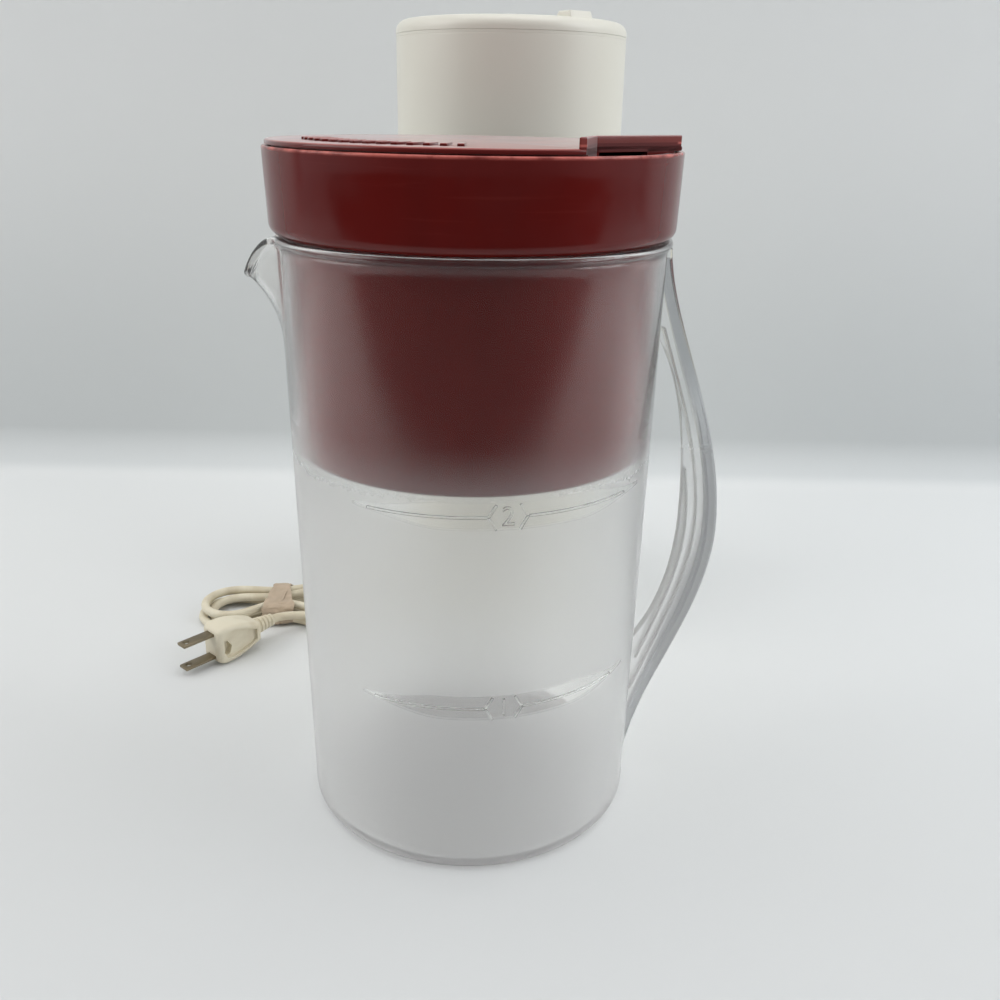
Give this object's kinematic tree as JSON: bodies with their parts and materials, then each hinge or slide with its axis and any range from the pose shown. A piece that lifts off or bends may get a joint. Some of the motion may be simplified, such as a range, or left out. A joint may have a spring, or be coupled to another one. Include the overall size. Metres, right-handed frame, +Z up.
{
  "type": "iced tea maker",
  "caption": "Iced tea maker: clear pitcher with a steeping basket, lid and level lines, beside a round heating tower with hinged reservoir lid, outlet spout, switch and mains cord.",
  "frame": {"origin": "centre of the footprint of pitcher and tower on the table, without the cord and its plug", "axes": "+Z up, +Y from the pitcher to the tower behind it, +X from the spout to the handle of the pitcher"},
  "size_m": [0.2505, 0.3038, 0.3093],
  "materials": {
    "clear_plastic": "clear, hazy with use",
    "red_plastic": "glossy dark red",
    "cream_plastic": "satin cream",
    "ivory_vinyl": "soft ivory vinyl",
    "tie_paper": "pale beige band",
    "black_rubber": "matt black",
    "black_plastic": "black phenolic",
    "white_plastic": "natural",
    "silicone": "translucent white",
    "wire_insulation": "glass braid sleeve",
    "steel": "plated",
    "aluminium": "as cast",
    "brass": "dull"
  },
  "bodies": {
    "tower": {"tower_shell": "cream_plastic", "reservoir": "cream_plastic", "lid_hinge_pin": "steel", "outlet_spout": "cream_plastic", "riser_hose": "silicone", "upper_feed_hose": "silicone", "lower_feed_hose": "silicone", "check_valve": "white_plastic", "hose_clamps": "steel", "heater_casting": "aluminium", "heater_tube": "aluminium", "heating_element": "steel", "heater_screws": "steel", "thermostat": "black_plastic", "thermal_fuse": "brass", "sensor_clip": "steel", "switch_body": "black_plastic", "lead_wires": "wire_insulation", "base_plate": "cream_plastic", "base_screws": "steel", "rubber_feet": "black_rubber", "strain_relief": "ivory_vinyl", "supply_cord": "ivory_vinyl", "cord_hank": "ivory_vinyl", "cord_tie": "tie_paper", "plug_lead": "ivory_vinyl", "plug_body": "ivory_vinyl", "plug_blades": "brass"},
    "reservoir_lid": {"reservoir_lid": "cream_plastic"},
    "switch_rocker": {"switch_rocker": "red_plastic"},
    "check_ball": {"check_ball": "steel"},
    "pitcher": {"pitcher": "clear_plastic"},
    "brew_basket": {"brew_basket": "red_plastic"},
    "pitcher_lid": {"pitcher_lid": "red_plastic"}
  },
  "joints": [
    {"name": "reservoir_lid_hinge", "type": "hinge", "parent": "tower", "child": "reservoir_lid", "pos_m": [-0.02978, 0.13227, 0.3017], "axis": [-0.7986, -0.6018, 0], "range_deg": [0, 100]},
    {"name": "rocker_tilt", "type": "hinge", "parent": "tower", "child": "switch_rocker", "pos_m": [0.04772, 0.11717, 0.036], "axis": [0.6018, -0.7986, 0], "range_deg": [0, 14]},
    {"name": "ball_lift", "type": "slide", "parent": "tower", "child": "check_ball", "axis": [0, 0, 1], "range_m": [0, 0.002]},
    {"name": "pitcher_lift", "type": "slide", "parent": "tower", "child": "pitcher", "axis": [0, 0, 1], "range_m": [0, 0.25]},
    {"name": "basket_lift", "type": "slide", "parent": "pitcher", "child": "brew_basket", "axis": [0, 0, 1], "range_m": [0, 0.12]},
    {"name": "lid_lift", "type": "slide", "parent": "brew_basket", "child": "pitcher_lid", "axis": [0, 0, 1], "range_m": [0, 0.06]}
  ]
}
